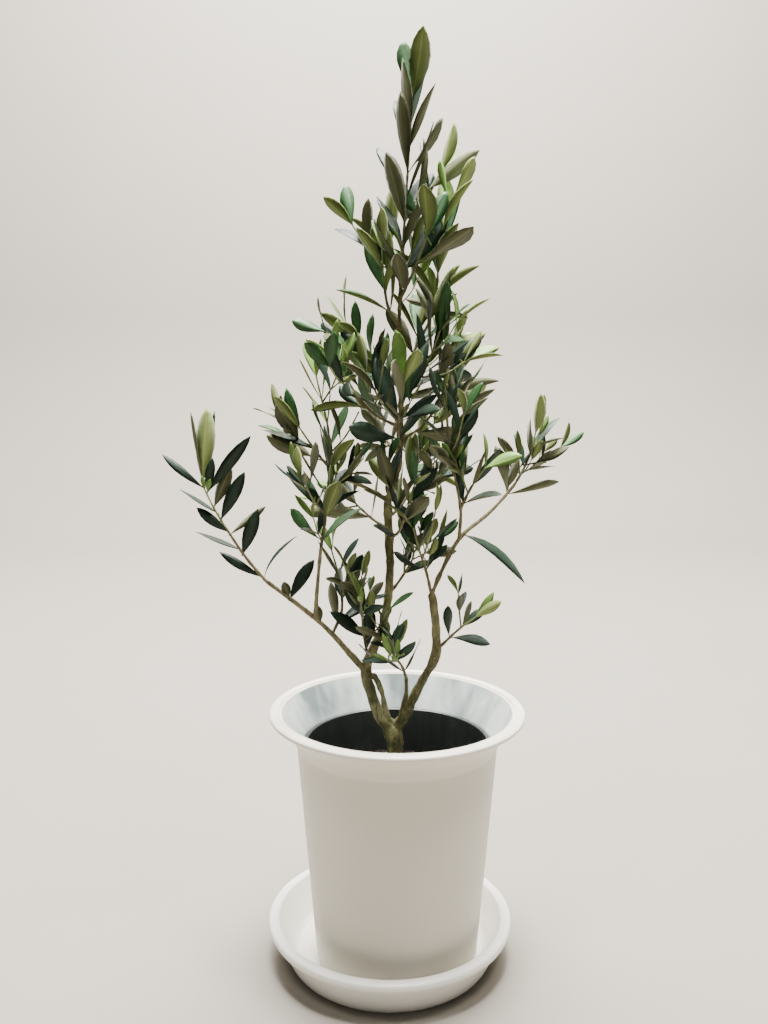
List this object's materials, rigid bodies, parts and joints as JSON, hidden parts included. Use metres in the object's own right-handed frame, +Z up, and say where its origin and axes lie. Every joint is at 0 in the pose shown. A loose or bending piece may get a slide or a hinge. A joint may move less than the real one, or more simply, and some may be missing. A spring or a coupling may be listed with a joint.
{
  "type": "potted olive tree",
  "caption": "Young olive tree with a forked trunk and leafy upright shoots, in a round tapered plastic cover pot on a saucer.",
  "frame": {"origin": "on the floor under the pot's axis, on the flat underside of the saucer", "axes": "+Z up, +X to the right and +Y to the back as seen from the front"},
  "size_m": [0.2648, 0.1752, 0.6083],
  "materials": {
    "saucer_plastic": "smooth white moulded plastic",
    "pot_plastic": "satin white moulded plastic",
    "nursery_plastic": "thin black moulded plastic",
    "soil": "dark crumbly potting soil with perlite",
    "bark": "young olive bark, fine cracks and bumps",
    "foliage": "leathery grey-green leaves with olive undersides"
  },
  "bodies": {
    "root": {"saucer": "saucer_plastic", "cover_pot": "pot_plastic", "nursery_pot": "nursery_plastic", "potting_soil": "soil", "trunk": "bark", "right_limb": "bark", "fork_limb": "bark", "foot_bough": "bark", "right_outer_bough": "bark", "right_upright_bough": "bark", "left_low_bough": "bark", "left_upright_bough": "bark", "left_middle_bough": "bark", "leader_shoot": "foliage", "top_front_shoot": "foliage", "top_right_shoot": "foliage", "top_left_shoot": "foliage", "top_back_shoot": "foliage", "upper_left_shoot": "foliage", "upper_right_shoot": "foliage", "upper_back_shoot": "foliage", "front_shoot": "foliage", "middle_left_shoot": "foliage", "middle_right_shoot": "foliage", "middle_back_shoot": "foliage", "lower_back_shoot": "foliage", "left_back_shoot": "foliage", "lower_front_shoot": "foliage", "trunk_side_shoot": "foliage", "inner_right_shoot": "foliage", "right_tip_shoot": "foliage", "right_upright_shoot": "foliage", "right_cluster_shoot": "foliage", "right_side_shoot": "foliage", "foot_shoot": "foliage", "left_tip_shoot": "foliage", "left_upright_shoot": "foliage", "left_inner_shoot": "foliage", "left_foot_shoot": "foliage", "left_middle_shoot": "foliage"}
  },
  "joints": []
}
